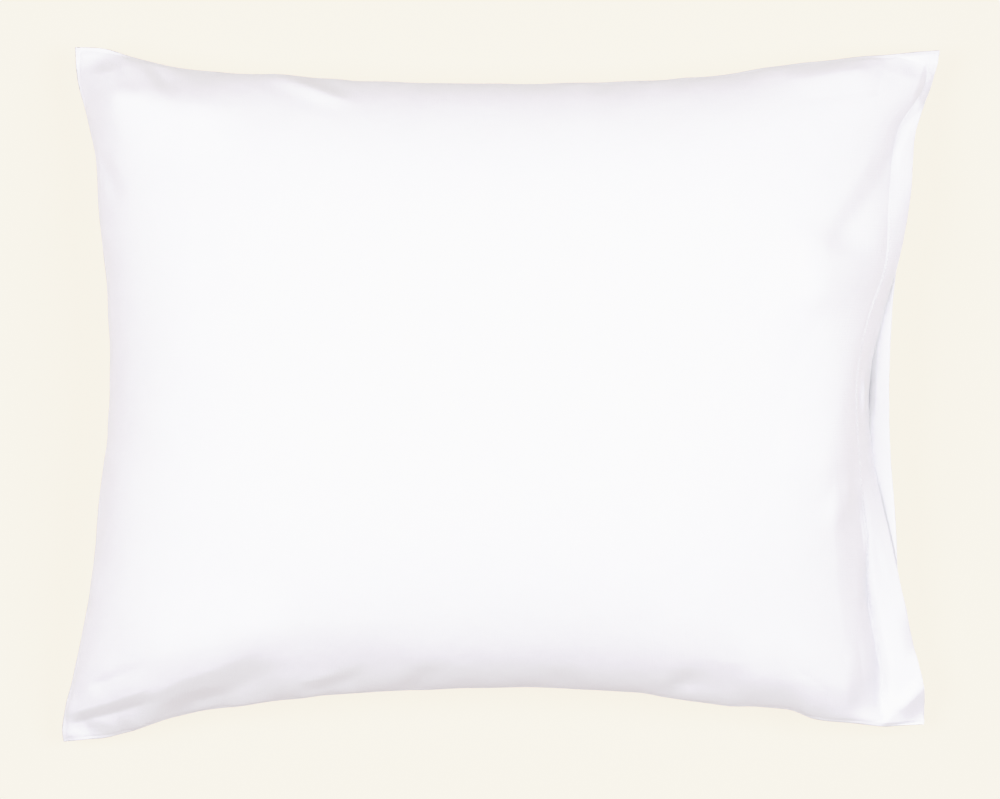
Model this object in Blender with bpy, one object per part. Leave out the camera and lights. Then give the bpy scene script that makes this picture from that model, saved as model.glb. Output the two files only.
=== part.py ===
"""A pillowcase of 50 x 60 cm, filled by a pillow and lying on its back, its open end towards +X.

It is one closed solid. The front and the back of the case swell over the pillow inside it, and its two long
seams and its closed end are drawn in between flat corner tips. At the open end the front hem and the back hem
stand apart as two thin lips, and the mouth between them runs in to the end of the pillow.
Metres, +Z up. The origin is under the middle of the case, on the surface that it lies on.
"""

import math
from collections import namedtuple

import bmesh
import bpy
from mathutils import Vector

NODE = "filled_case"

# The corner tips. The long seams run in X, and the open end is the one at +X.
CLOSED_BOTTOM = Vector((-0.302, -0.239, 0.028))
CLOSED_TOP = Vector((-0.293, 0.240, 0.032))
OPEN_BOTTOM = Vector((0.293, -0.226, 0.027))
OPEN_TOP = Vector((0.302, 0.239, 0.031))

SEAM_RISE = 0.032  # the middle of each seam lies this far above its corner tips
CROWN_TOP = 0.150  # the highest point of the front
CROWN_BELOW = -0.010  # the back would sag to this height, so it lies flat on the surface
LENGTH_FULLNESS = 2.7  # higher is boxier along X
WIDTH_FULLNESS = 2.3  # higher is boxier along Y
EDGE_ROUNDNESS = 0.52  # 0.5 is an ellipse's edge, and higher is sharper at the seams

# Each seam is drawn in from the straight line between its corners: how far along it, and how far inwards.
Draw = namedtuple("Draw", "along inward")
TOP_SEAM = [
    Draw(0.00, 0.0000),
    Draw(0.03, 0.0003),
    Draw(0.06, 0.0056),
    Draw(0.10, 0.0125),
    Draw(0.17, 0.0182),
    Draw(0.25, 0.0198),
    Draw(0.35, 0.0236),
    Draw(0.50, 0.0244),
    Draw(0.65, 0.0234),
    Draw(0.75, 0.0192),
    Draw(0.80, 0.0140),
    Draw(0.90, 0.0066),
    Draw(1.00, 0.0000),
]
BOTTOM_SEAM = [
    Draw(0.00, 0.0000),
    Draw(0.05, 0.0022),
    Draw(0.10, 0.0100),
    Draw(0.14, 0.0168),
    Draw(0.20, 0.0226),
    Draw(0.30, 0.0282),
    Draw(0.45, 0.0298),
    Draw(0.55, 0.0324),
    Draw(0.63, 0.0266),
    Draw(0.70, 0.0205),
    Draw(0.77, 0.0142),
    Draw(0.84, 0.0114),
    Draw(0.87, 0.0050),
    Draw(0.93, 0.0000),
    Draw(0.98, -0.0032),
    Draw(1.00, 0.0000),
]
CLOSED_END = [
    Draw(0.00, 0.0000),
    Draw(0.02, -0.0012),
    Draw(0.06, 0.0026),
    Draw(0.10, 0.0072),
    Draw(0.16, 0.0130),
    Draw(0.24, 0.0182),
    Draw(0.36, 0.0228),
    Draw(0.44, 0.0270),
    Draw(0.54, 0.0278),
    Draw(0.65, 0.0244),
    Draw(0.75, 0.0192),
    Draw(0.84, 0.0162),
    Draw(0.90, 0.0094),
    Draw(0.95, 0.0015),
    Draw(1.00, 0.0000),
]

# The open end, from its bottom corner to its top one: the foot of the swollen front, where its flat hem begins,
# the hem's free edge, and the free edge of the back hem, which the front one leaves in sight along the middle.
Hem = namedtuple("Hem", "along foot_x foot_z edge_x edge_z back_x")
OPEN_END = [
    Hem(0.05, 0.2645, 0.038, 0.2925, 0.034, 0.2905),
    Hem(0.10, 0.2620, 0.045, 0.2870, 0.039, 0.2850),
    Hem(0.20, 0.2532, 0.056, 0.2773, 0.048, 0.2755),
    Hem(0.30, 0.2503, 0.070, 0.2675, 0.053, 0.2722),
    Hem(0.42, 0.2440, 0.080, 0.2567, 0.059, 0.2680),
    Hem(0.51, 0.2405, 0.083, 0.2533, 0.061, 0.2675),
    Hem(0.60, 0.2490, 0.083, 0.2612, 0.061, 0.2697),
    Hem(0.68, 0.2630, 0.078, 0.2728, 0.058, 0.2742),
    Hem(0.78, 0.2655, 0.066, 0.2808, 0.051, 0.2825),
    Hem(0.88, 0.2735, 0.051, 0.2843, 0.043, 0.2872),
    Hem(0.95, 0.2925, 0.040, 0.2968, 0.037, 0.2990),
]
FOOT_ON_BOTTOM = 0.955  # how far along the long seams the foot meets them
FOOT_ON_TOP = 0.985
BACK_HEM_WIDTH = 0.027
BACK_HEM_DROP = 0.007  # the back hem's foot lies this far below its edge
BACK_FOOT_RUN = 0.08  # and reaches its width and drop this far along the open end

LIP = 0.002  # the thickness of each hem
MOUTH_GAP = 0.008  # between the hems, in the middle of the open end
MOUTH_TAPER = 0.7  # lower keeps the mouth open nearer to its corners
LIP_RUN = 0.006  # the hems reach their thickness this far along the open end

# Creases in the front. Each starts at full height at its start and fades towards its end; a trough's is negative.
Fold = namedtuple("Fold", "start_x start_y end_x end_y half_width rise")
FOLDS = [
    Fold(0.298, 0.219, 0.230, 0.106, 0.009, -0.008),  # open end: from its top corner into the crown
    Fold(0.250, 0.028, 0.221, -0.066, 0.010, -0.006),  # from the middle of the mouth
    Fold(0.258, -0.206, 0.245, -0.066, 0.009, -0.007),  # beside the hem, up from its bottom corner
    Fold(-0.265, 0.229, -0.248, 0.206, 0.008, -0.005),  # closed top corner
    Fold(-0.245, 0.230, -0.222, 0.200, 0.009, -0.004),
    Fold(-0.164, 0.218, -0.104, 0.193, 0.009, 0.006),
    Fold(-0.137, 0.214, -0.104, 0.201, 0.008, -0.005),
    Fold(-0.277, 0.162, -0.256, 0.132, 0.010, -0.005),
    Fold(-0.296, -0.223, -0.248, -0.209, 0.008, -0.008),  # closed bottom corner
    Fold(-0.300, -0.232, -0.240, -0.217, 0.007, 0.006),
    Fold(-0.286, -0.203, -0.244, -0.182, 0.008, -0.003),
    Fold(-0.236, -0.210, -0.170, -0.186, 0.010, -0.007),
    Fold(-0.212, -0.213, -0.147, -0.187, 0.008, 0.007),
    Fold(-0.152, -0.205, -0.095, -0.183, 0.011, -0.007),
    Fold(-0.078, -0.200, -0.044, -0.180, 0.009, -0.005),  # bottom seam
    Fold(0.046, -0.198, 0.040, -0.184, 0.012, -0.004),
    Fold(0.106, -0.206, 0.134, -0.186, 0.010, -0.005),
]
FOLD_SHARE = 0.3  # where the case has swollen less than this, its creases fade towards the seam

COLUMNS = 46  # quads from the closed end to the hem's foot
HEM_COLUMNS = 3
ROWS = 38  # quads from the bottom seam to the top one
GRADING = 1.5  # above 1, rows and columns lie closer together near the seams

COTTON_WHITE = (0.90, 0.905, 0.92, 1.0)
COTTON_ROUGHNESS = 0.85


def clear_scene():
    for old in list(bpy.data.objects):
        bpy.data.objects.remove(old, do_unlink=True)


def smooth_value(stations, at):
    """The value at a place on a smooth curve through stations, which are (place, value) pairs."""
    places, values = zip(*stations)
    last = len(places) - 1

    def slope(i):
        low, high = max(i - 1, 0), min(i + 1, last)
        return (values[high] - values[low]) / (places[high] - places[low])

    i = min(max(sum(place <= at for place in places) - 1, 0), last - 1)
    run = places[i + 1] - places[i]
    x = (at - places[i]) / run
    return (
        values[i] * (1 + 2 * x) * (1 - x) ** 2
        + values[i + 1] * x * x * (3 - 2 * x)
        + slope(i) * run * x * (1 - x) ** 2
        - slope(i + 1) * run * x * x * (1 - x)
    )


def seam_point(start, end, draws, inwards, along):
    """A point on a seam between two corner tips, drawn inwards and raised between them."""
    point = start.lerp(end, along) + inwards * smooth_value(draws, along)
    point.z += SEAM_RISE * (1 - abs(2 * along - 1) ** 3)
    return point


def top_seam(along):
    return seam_point(CLOSED_TOP, OPEN_TOP, TOP_SEAM, Vector((0, -1, 0)), along)


def bottom_seam(along):
    return seam_point(CLOSED_BOTTOM, OPEN_BOTTOM, BOTTOM_SEAM, Vector((0, 1, 0)), along)


def closed_end(along):
    return seam_point(CLOSED_BOTTOM, CLOSED_TOP, CLOSED_END, Vector((1, 0, 0)), along)


FOOT_ENDS = (bottom_seam(FOOT_ON_BOTTOM), top_seam(FOOT_ON_TOP))
EDGE_ENDS = (OPEN_BOTTOM, OPEN_TOP)


def open_end_value(column, along):
    """A column of OPEN_END at a place along the open end, whose two ends lie on the long seams."""
    first, last = FOOT_ENDS if column.startswith("foot") else EDGE_ENDS
    axis = column[-1]
    rows = [(row.along, getattr(row, column)) for row in OPEN_END]
    return smooth_value([(0.0, getattr(first, axis)), *rows, (1.0, getattr(last, axis))], along)


def on_open_end(ends, along, x, z):
    """A point of the open end, whose Y runs evenly between its ends."""
    return Vector((x, ends[0].lerp(ends[1], along).y, z))


def front_foot(along):
    return on_open_end(FOOT_ENDS, along, open_end_value("foot_x", along), open_end_value("foot_z", along))


def front_edge(along):
    return on_open_end(EDGE_ENDS, along, open_end_value("edge_x", along), open_end_value("edge_z", along))


def hem_thickness(along):
    return LIP * min(1, along / LIP_RUN, (1 - along) / LIP_RUN)


def back_edge(along):
    open_share = max(math.sin(math.pi * along), 0) ** MOUTH_TAPER
    z = front_edge(along).z - 2 * hem_thickness(along) - MOUTH_GAP * open_share
    return on_open_end(EDGE_ENDS, along, open_end_value("back_x", along), z)


def back_foot(along):
    """Where the back hem begins. It runs into the front's foot at both long seams."""
    edge = back_edge(along)
    hem = on_open_end(FOOT_ENDS, along, edge.x - BACK_HEM_WIDTH, edge.z - BACK_HEM_DROP)
    from_seam = min(1, along / BACK_FOOT_RUN, (1 - along) / BACK_FOOT_RUN)
    return FOOT_ENDS[0].lerp(FOOT_ENDS[1], along).lerp(hem, from_seam)


def stretched(length_place, width_place, foot):
    """The flat case stretched between its three seams and the foot of a hem, as a Coons patch."""
    left, right = closed_end(width_place), foot(width_place)
    bottom = bottom_seam(length_place * FOOT_ON_BOTTOM)
    top = top_seam(length_place * FOOT_ON_TOP)
    corners_below = closed_end(0).lerp(foot(0), length_place)
    corners_above = closed_end(1).lerp(foot(1), length_place)
    return (
        left.lerp(right, length_place)
        + bottom.lerp(top, width_place)
        - corners_below.lerp(corners_above, width_place)
    )


def swell(length_place, width_place):
    """How far the case has swollen, 0 at all its edges and 1 in the middle, with round edges."""
    along = max(0, 1 - abs(2 * length_place - 1) ** LENGTH_FULLNESS)
    across = max(0, 1 - abs(2 * width_place - 1) ** WIDTH_FULLNESS)
    return (along * across) ** EDGE_ROUNDNESS


def fold_rise(place):
    """How far the front's creases raise or lower it."""
    total = 0
    for fold in FOLDS:
        start = Vector((fold.start_x, fold.start_y))
        run = Vector((fold.end_x, fold.end_y)) - start
        held = min(max((place - start).dot(run) / run.length_squared, 0), 1)
        aside = (place - start - run * held).length / fold.half_width
        total += fold.rise * math.exp(-aside * aside) * (1 - held**3)
    return total


def front_point(length_place, width_place):
    point = stretched(length_place, width_place, front_foot)
    share = swell(length_place, width_place)
    point.z += (CROWN_TOP - point.z) * share
    point.z += fold_rise(point.xy) * min(1, share / FOLD_SHARE)
    return point


def back_point(length_place, width_place):
    point = stretched(length_place, width_place, back_foot)
    point.z += (CROWN_BELOW - point.z) * swell(length_place, width_place)
    point.z = max(point.z, 0)
    return point


def hem_strip(foot, edge, along, thickness):
    """The outer and the inner points of a hem's section, from its foot to its edge."""
    start, end = foot(along), edge(along)
    outer = [start.lerp(end, column / HEM_COLUMNS) for column in range(HEM_COLUMNS + 1)]
    upwards = Vector((start.z - end.z, 0, end.x - start.x)).normalized()
    return outer, [point + upwards * thickness for point in outer]


def graded(count):
    """Places from 0 to 1, closer together towards both ends."""
    places = []
    for step in range(count + 1):
        across = 2 * step / count - 1
        places.append((1 + math.copysign(1 - (1 - abs(across)) ** GRADING, across)) / 2)
    return places


def add_strip(bm, one, other):
    """Faces between two rows of vertices. A face that a shared vertex leaves with two corners isn't made."""
    for i in range(len(one) - 1):
        corners = list(dict.fromkeys((one[i], one[i + 1], other[i + 1], other[i])))
        if len(corners) > 2:
            bm.faces.new(corners)


def seam_section(bm, width_place):
    """The vertices of a long seam, which the front and the back share. The mouth ends at its corner tip."""
    body = [front_point(place, width_place) for place in graded(COLUMNS)]
    hem = hem_strip(front_foot, front_edge, width_place, 0)[0]
    seam = [bm.verts.new(point) for point in body + hem[1:]]
    inside = [seam[-1]] * (HEM_COLUMNS + 1)
    return seam, seam, inside, inside


def open_section(bm, width_place, beside_seam):
    """The vertices of the front, of the back and of the two sides of the mouth, at one place across the case.

    Beside a seam the mouth's sides come together in one line, halfway between the hems.
    """
    thickness = hem_thickness(width_place)
    front_hem, front_inside = hem_strip(front_foot, front_edge, width_place, -thickness)
    back_hem, back_inside = hem_strip(back_foot, back_edge, width_place, thickness)
    places = graded(COLUMNS)
    front_body = [front_point(place, width_place) for place in places]
    back_body = [back_point(place, width_place) for place in places[1:]]
    front = [bm.verts.new(point) for point in front_body + front_hem[1:]]
    back = [front[0]] + [bm.verts.new(point) for point in back_body + back_hem[1:]]
    if beside_seam:
        middle = [bm.verts.new(above.lerp(below, 0.5)) for above, below in zip(front_hem, back_hem)]
        return front, back, middle, middle
    over_mouth = [bm.verts.new(point) for point in front_inside]
    under_mouth = [bm.verts.new(point) for point in back_inside]
    return front, back, over_mouth, under_mouth


def split_corner(tip):
    """Splits the faces at a closed corner through its tip, so that the front's and the back's don't coincide."""
    for face in list(tip.link_faces):
        loop = next(loop for loop in face.loops if loop.vert == tip)
        bmesh.utils.face_split(face, tip, loop.link_loop_next.link_loop_next.vert)


def make_case():
    """The whole case, skinned over its sections from the bottom seam to the top one."""
    bm = bmesh.new()
    sections = [seam_section(bm, 0.0)]
    for row, place in enumerate(graded(ROWS)[1:-1], 1):
        sections.append(open_section(bm, place, beside_seam=row in (1, ROWS - 1)))
    sections.append(seam_section(bm, 1.0))
    for row, (lower, upper) in enumerate(zip(sections, sections[1:])):
        front, back, over_mouth, under_mouth = zip(lower, upper)
        add_strip(bm, *front)
        add_strip(bm, *back)
        add_strip(bm, *((outer[-1], inner[-1]) for outer, inner in zip(front, over_mouth)))
        add_strip(bm, *((outer[-1], inner[-1]) for outer, inner in zip(back, under_mouth)))
        if 0 < row < ROWS - 1:
            add_strip(bm, *over_mouth)
            add_strip(bm, *under_mouth)
            add_strip(bm, *((over[0], under[0]) for over, under in zip(over_mouth, under_mouth)))
    for seam, *_ in (sections[0], sections[-1]):
        split_corner(seam[0])
    bmesh.ops.recalc_face_normals(bm, faces=bm.faces)
    return bm


def centre_over_origin(bm):
    xs = [vert.co.x for vert in bm.verts]
    ys = [vert.co.y for vert in bm.verts]
    middle = Vector((min(xs) + max(xs), min(ys) + max(ys), 0)) / 2
    bmesh.ops.translate(bm, verts=bm.verts, vec=-middle)


def cotton():
    material = bpy.data.materials.new("white_cotton")
    material.use_nodes = True
    shader = material.node_tree.nodes["Principled BSDF"]
    shader.inputs["Base Color"].default_value = COTTON_WHITE
    shader.inputs["Roughness"].default_value = COTTON_ROUGHNESS
    shader.inputs["Metallic"].default_value = 0.0
    return material


def add_case():
    bm = make_case()
    centre_over_origin(bm)
    mesh = bpy.data.meshes.new(NODE)
    bm.to_mesh(mesh)
    bm.free()
    mesh.shade_smooth()
    mesh.materials.append(cotton())
    case = bpy.data.objects.new(NODE, mesh)
    bpy.context.scene.collection.objects.link(case)
    return case


clear_scene()
add_case()
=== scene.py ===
"""The looks of a white cotton pillowcase of 50 x 60 cm, filled by its pillow and lying on its back.

The case is one closed skin. Each of its sections runs from the closed end over the front to the open end,
round the front hem, down over the end of the pillow, round the back hem, and back under the case. A cloth
simulation settles the skin over its filling, and the creases and the small gathers are then pressed into it.
Metres, +Z up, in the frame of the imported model: the open end is towards +X and the back lies on z = 0.
"""

import math
from collections import namedtuple

import bpy
import numpy as np
from mathutils import Matrix, Vector


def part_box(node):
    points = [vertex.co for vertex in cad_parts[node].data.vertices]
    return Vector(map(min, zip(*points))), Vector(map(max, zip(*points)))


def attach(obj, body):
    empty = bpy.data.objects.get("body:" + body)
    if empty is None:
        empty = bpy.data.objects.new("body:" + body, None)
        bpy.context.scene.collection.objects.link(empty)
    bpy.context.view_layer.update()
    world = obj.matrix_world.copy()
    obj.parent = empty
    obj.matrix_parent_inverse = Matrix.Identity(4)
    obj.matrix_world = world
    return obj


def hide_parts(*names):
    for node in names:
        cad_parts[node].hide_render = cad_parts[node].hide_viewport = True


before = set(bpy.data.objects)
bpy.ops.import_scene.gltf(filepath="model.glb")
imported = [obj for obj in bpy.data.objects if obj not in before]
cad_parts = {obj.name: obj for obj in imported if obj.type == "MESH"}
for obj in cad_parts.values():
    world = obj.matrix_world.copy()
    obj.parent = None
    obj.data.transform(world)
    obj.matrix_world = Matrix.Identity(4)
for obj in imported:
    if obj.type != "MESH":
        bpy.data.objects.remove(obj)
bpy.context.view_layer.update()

NODE = "filled_case"

# -------- the case's sizes

# The corner tips. The long seams run in X, and the open end is the one at +X.
CLOSED_BOTTOM = np.array((-0.3035, -0.2402, 0.028))
CLOSED_TOP = np.array((-0.2942, 0.2418, 0.032))
OPEN_BOTTOM = np.array((0.2948, -0.228, 0.027))
OPEN_TOP = np.array((0.3047, 0.2398, 0.031))

SEAM_RISE = 0.032  # the middle of each seam lies this far above its corner tips
CROWN_TOP = 0.150  # the highest point of the front
CROWN_BELOW = -0.010  # the back would sag to this height, so it lies flat on the surface
LENGTH_FULLNESS = 2.7  # higher is boxier along X
WIDTH_FULLNESS = 2.3  # higher is boxier along Y
EDGE_ROUNDNESS = 0.49  # 0.5 is an ellipse's edge, and higher is sharper at the seams
CLOSED_ROUNDNESS = 0.57  # the same at the closed end
EDGE_BLUNTNESS = 0.020  # how far the cloth at a seam is from standing upright
# The front runs on into its hem with no seam, so its shoulder is softer there, and softest where the case
# is slack. Each pair is how far along the open end, and how much softer.
OPEN_SHOULDER = [
    (0.00, 0.12), (0.12, 0.14), (0.30, 0.11), (0.48, 0.11), (0.58, 0.18), (0.68, 0.23), (0.80, 0.20),
    (0.90, 0.15), (1.00, 0.12),
]

# The pillow leaves the corner tips flat, over an ellipse round each: its half axes, and the share of the
# swelling that is left.
FLAT_TIPS = [
    (CLOSED_BOTTOM, (0.026, 0.010), 0.5),
    (CLOSED_TOP, (0.028, 0.012), 0.12),
    (OPEN_BOTTOM, (0.014, 0.014), 0.12),
    (OPEN_TOP, (0.026, 0.013), 0.12),
]
FLAT_REACH = (0.75, 1.9)  # the swelling grows between these multiples of the ellipse

# Each seam is drawn in from the line between its corners. Each pair is how far along, and how far in.
TOP_SEAM = [
    (0.00, 0.0000), (0.03, 0.0010), (0.06, 0.0058), (0.10, 0.0126), (0.17, 0.0186), (0.25, 0.0208),
    (0.35, 0.0253), (0.50, 0.0263), (0.65, 0.0242), (0.75, 0.0192), (0.80, 0.0140), (0.90, 0.0062),
    (1.00, 0.0000),
]
BOTTOM_SEAM = [
    (0.00, 0.0000), (0.05, 0.0026), (0.08, 0.0070), (0.10, 0.0114), (0.14, 0.0182), (0.20, 0.0236),
    (0.30, 0.0304), (0.45, 0.0338), (0.55, 0.0338), (0.63, 0.0299), (0.67, 0.0282), (0.70, 0.0242),
    (0.77, 0.0180), (0.84, 0.0144), (0.87, 0.0070), (0.93, 0.0020), (0.98, -0.0022), (1.00, 0.0000),
]
CLOSED_END = [
    (0.00, 0.0000), (0.02, -0.0005), (0.06, 0.0032), (0.10, 0.0080), (0.16, 0.0146), (0.24, 0.0208),
    (0.36, 0.0256), (0.44, 0.0298), (0.54, 0.0308), (0.65, 0.0276), (0.75, 0.0216), (0.84, 0.0172),
    (0.90, 0.0106), (0.95, 0.0030), (1.00, 0.0000),
]

# The open end, from its bottom corner to its top one: the foot of the swollen front, where its flat hem
# begins, the hem's free edge, and the free edge of the back hem, which stays in sight along the middle.
Hem = namedtuple("Hem", "along foot_x foot_z edge_x edge_z back_x")
OPEN_END = [
    Hem(0.05, 0.2645, 0.036, 0.2940, 0.032, 0.2920),
    Hem(0.10, 0.2615, 0.042, 0.2885, 0.035, 0.2865),
    Hem(0.20, 0.2522, 0.052, 0.2775, 0.042, 0.2757),
    Hem(0.30, 0.2482, 0.065, 0.2665, 0.050, 0.2725),
    Hem(0.42, 0.2440, 0.080, 0.2552, 0.057, 0.2680),
    Hem(0.51, 0.2420, 0.085, 0.2540, 0.058, 0.2672),
    Hem(0.60, 0.2500, 0.081, 0.2622, 0.060, 0.2690),
    Hem(0.68, 0.2635, 0.073, 0.2735, 0.058, 0.2730),
    Hem(0.78, 0.2665, 0.066, 0.2825, 0.051, 0.2805),
    Hem(0.88, 0.2740, 0.051, 0.2870, 0.043, 0.2850),
    Hem(0.95, 0.2940, 0.038, 0.2995, 0.037, 0.2975),
]
HEM_DROOP = 1.2  # higher bends the hems' free edges down more steeply
FOOT_ON_BOTTOM = 0.955  # how far along the long seams the foot meets them
FOOT_ON_TOP = 0.985
BACK_HEM_WIDTH = 0.027
BACK_HEM_DROP = 0.001  # the back hem's foot lies this far below its edge
BACK_FOOT_RUN = 0.08  # and reaches its width and drop this far along the open end

LIP = 0.0011  # the thickness of each hem
MOUTH_GAP = 0.0009  # between the hems, in the middle of the open end
MOUTH_TAPER = 0.7  # lower keeps the mouth open nearer to its corners
LIP_RUN = 0.006  # the hems reach their thickness this far along the open end
PILLOW_BULGE = 0.006  # the end of the pillow swells this far into the mouth,
BULGE_SHARE = 0.25  # or this share of its height where that is less
BULGE_FULLNESS = 0.7  # lower is boxier

# -------- creases

# The creases pressed into the front, seen from above. Each runs along a smooth path, and is a trough where
# its rise is negative. Its sides have their own widths, seen along the path: a narrow side makes a crisp
# line, and a wide one fades. A slant of 1 makes flat sides that end in a soft edge, and a higher one makes
# them hollow. The path's ends fade in and out over shares of its length, and its widths grow to spread times
# as much at its end.
Crease = namedtuple("Crease", "path left right rise slant fade_in fade_out spread", defaults=(1.0,))
CREASES = [
    # the open end's top corner: one crease along the turned-down hem, which runs on into the crown
    Crease([(0.3095, 0.222), (0.3015, 0.207), (0.2890, 0.195), (0.280, 0.186), (0.273, 0.174),
            (0.268, 0.158), (0.265, 0.146)], 0.004, 0.010, -0.0035, 1.3, 0.04, 0.35),
    Crease([(0.308, 0.230), (0.3035, 0.218), (0.299, 0.206), (0.294, 0.198)],
           0.005, 0.012, -0.010, 1.0, 0.25, 0.25),
    Crease([(0.274, 0.174), (0.261, 0.149), (0.246, 0.127), (0.234, 0.111), (0.222, 0.096), (0.213, 0.080)],
           0.020, 0.012, -0.0075, 1.2, 0.22, 0.4),
    Crease([(0.232, 0.112), (0.219, 0.082), (0.215, 0.050)], 0.040, 0.035, 0.007, 1.2, 0.3, 0.3),
    Crease([(0.190, 0.215), (0.235, 0.222), (0.266, 0.227)], 0.009, 0.014, 0.004, 1.2, 0.3, 0.3),
    # the case sinks towards the mouth in flat facets
    Crease([(0.274, 0.105), (0.266, 0.070), (0.258, 0.045)], 0.010, 0.050, -0.004, 1.2, 0.3, 0.3),
    Crease([(0.261, 0.042), (0.2545, 0.010), (0.255, -0.020), (0.2585, -0.050), (0.266, -0.078)],
           0.004, 0.022, -0.002, 1.1, 0.25, 0.25),
    Crease([(0.251, 0.042), (0.238, 0.014), (0.231, -0.013), (0.222, -0.047), (0.216, -0.079)],
           0.026, 0.035, 0.006, 1.1, 0.2, 0.3),
    Crease([(0.2485, 0.014), (0.2495, -0.013)], 0.0035, 0.0035, 0.008, 1.5, 0.3, 0.3),
    # the open end's bottom corner: the trough beside the hem, and the folds of the hem itself
    Crease([(0.2445, -0.064), (0.247, -0.085), (0.250, -0.109), (0.2515, -0.131), (0.257, -0.154),
            (0.2605, -0.171), (0.2642, -0.192), (0.2635, -0.211), (0.2625, -0.226)],
           0.005, 0.018, -0.006, 1.1, 0.06, 0.08, 1.3),
    Crease([(0.242, -0.062), (0.232, -0.077), (0.218, -0.091)], 0.009, 0.012, 0.005, 1.1, 0.1, 0.5),
    Crease([(0.257, -0.096), (0.260, -0.112), (0.266, -0.128)], 0.003, 0.003, -0.0015, 1.2, 0.3, 0.4),
    Crease([(0.281, -0.146), (0.287, -0.165), (0.290, -0.182)], 0.004, 0.008, -0.005, 1.1, 0.4, 0.2),
    Crease([(0.292, -0.196), (0.286, -0.207), (0.272, -0.219)], 0.012, 0.005, 0.003, 1.2, 0.2, 0.3),
    Crease([(0.270, -0.245), (0.285, -0.2315), (0.300, -0.218), (0.312, -0.207)],
           0.014, 0.012, -0.009, 1.0, 0.1, 0.1),
    Crease([(0.150, -0.190), (0.200, -0.194), (0.232, -0.199), (0.256, -0.204)],
           0.035, 0.020, 0.005, 1.1, 0.3, 0.2),
    # the closed end's top corner: the troughs from its tip, the full cloth beside them, and a ridge past it
    Crease([(-0.266, 0.238), (-0.257, 0.220), (-0.245, 0.205)], 0.010, 0.010, -0.003, 1.3, 0.4, 0.5),
    Crease([(-0.244, 0.235), (-0.231, 0.218), (-0.220, 0.203)], 0.009, 0.007, -0.006, 1.3, 0.35, 0.45),
    Crease([(-0.292, 0.214), (-0.262, 0.209), (-0.220, 0.199), (-0.165, 0.195)],
           0.024, 0.035, 0.010, 1.2, 0.25, 0.35),
    Crease([(-0.264, 0.215), (-0.260, 0.190), (-0.254, 0.150)], 0.035, 0.020, 0.003, 1.3, 0.2, 0.5),
    Crease([(-0.162, 0.225), (-0.131, 0.212), (-0.098, 0.197)], 0.006, 0.009, 0.007, 1.3, 0.12, 0.4),
    Crease([(-0.138, 0.222), (-0.119, 0.213), (-0.101, 0.204)], 0.014, 0.005, -0.005, 1.1, 0.2, 0.4),
    Crease([(-0.277, 0.168), (-0.267, 0.149), (-0.256, 0.132)], 0.009, 0.005, -0.004, 1.5, 0.2, 0.4),
    # the closed end's bottom corner: a roll below a crease, and a long steep fold
    Crease([(-0.300, -0.2285), (-0.2785, -0.2220), (-0.264, -0.2182), (-0.247, -0.2125), (-0.230, -0.2070)],
           0.006, 0.022, -0.008, 1.2, 0.2, 0.3, 1.5),
    Crease([(-0.2405, -0.2235), (-0.228, -0.2205), (-0.215, -0.2145), (-0.2033, -0.2087), (-0.186, -0.2030),
            (-0.165, -0.192), (-0.150, -0.186)], 0.016, 0.022, -0.010, 1.1, 0.2, 0.3),
    Crease([(-0.265, -0.183), (-0.200, -0.168), (-0.130, -0.160)], 0.035, 0.038, 0.006, 1.2, 0.3, 0.3),
    Crease([(-0.308, -0.246), (-0.270, -0.240), (-0.235, -0.232)], 0.052, 0.020, -0.011, 1.0, 0.05, 0.4),
    Crease([(-0.237, -0.2225), (-0.2255, -0.2195), (-0.2133, -0.2113), (-0.1995, -0.2070), (-0.182, -0.202)],
           0.009, 0.018, -0.005, 1.0, 0.25, 0.35, 0.5),
    Crease([(-0.284, -0.201), (-0.262, -0.191), (-0.237, -0.181)], 0.004, 0.010, -0.002, 1.5, 0.2, 0.4),
    # the bottom seam's shoulder and its peaks
    Crease([(-0.200, -0.190), (-0.150, -0.186), (-0.100, -0.185), (-0.040, -0.184)],
           0.028, 0.020, -0.004, 1.1, 0.3, 0.3),
    Crease([(0.110, -0.196), (0.145, -0.198), (0.175, -0.200)], 0.016, 0.014, -0.003, 1.1, 0.3, 0.3),
    Crease([(-0.139, -0.204), (-0.113, -0.197), (-0.090, -0.186)], 0.006, 0.020, -0.007, 1.1, 0.3, 0.35),
    Crease([(-0.071, -0.204), (-0.056, -0.194), (-0.043, -0.180)], 0.006, 0.012, -0.006, 1.2, 0.3, 0.45),
    Crease([(0.046, -0.203), (0.042, -0.194), (0.038, -0.184)], 0.005, 0.010, -0.003, 1.3, 0.2, 0.5),
    Crease([(0.110, -0.207), (0.124, -0.196), (0.134, -0.184)], 0.006, 0.010, -0.006, 1.2, 0.3, 0.45),
]
CREASE_ROUNDING = 0.2  # a crease's line is rounded to this share of its narrower side
PATH_FINENESS = 6  # its path has this many points for each of those above

# -------- the grid, the gathers and the cloth

FINE, COARSE = 0.0014, 0.0060  # the grid's spacing near the case's edges, and in its middle
FINE_REACH, COARSE_REACH = 0.045, 0.110  # it grows between these distances from an edge
HEM_PLACES = (0.0, 0.03, 0.06, 0.10, 0.15, 0.22, 0.30, 0.39, 0.48, 0.57, 0.66, 0.75, 0.83, 0.90, 0.96, 1.0)
HEM_COLUMNS = len(HEM_PLACES)
TRIAL_PLACES = 4001  # how finely a line is measured to space the grid along it
EDGE_STEPS = 4  # round a hem's free edge
WALL_STEPS = 8  # down over the end of the pillow, between the hems
CLOTH_COARSENESS = 2.6  # the simulated cloth's spacing is this many times the skin's
CLOTH_HEM_PLACES = (0.0, 0.2, 0.4, 0.6, 0.8, 1.0)

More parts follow.
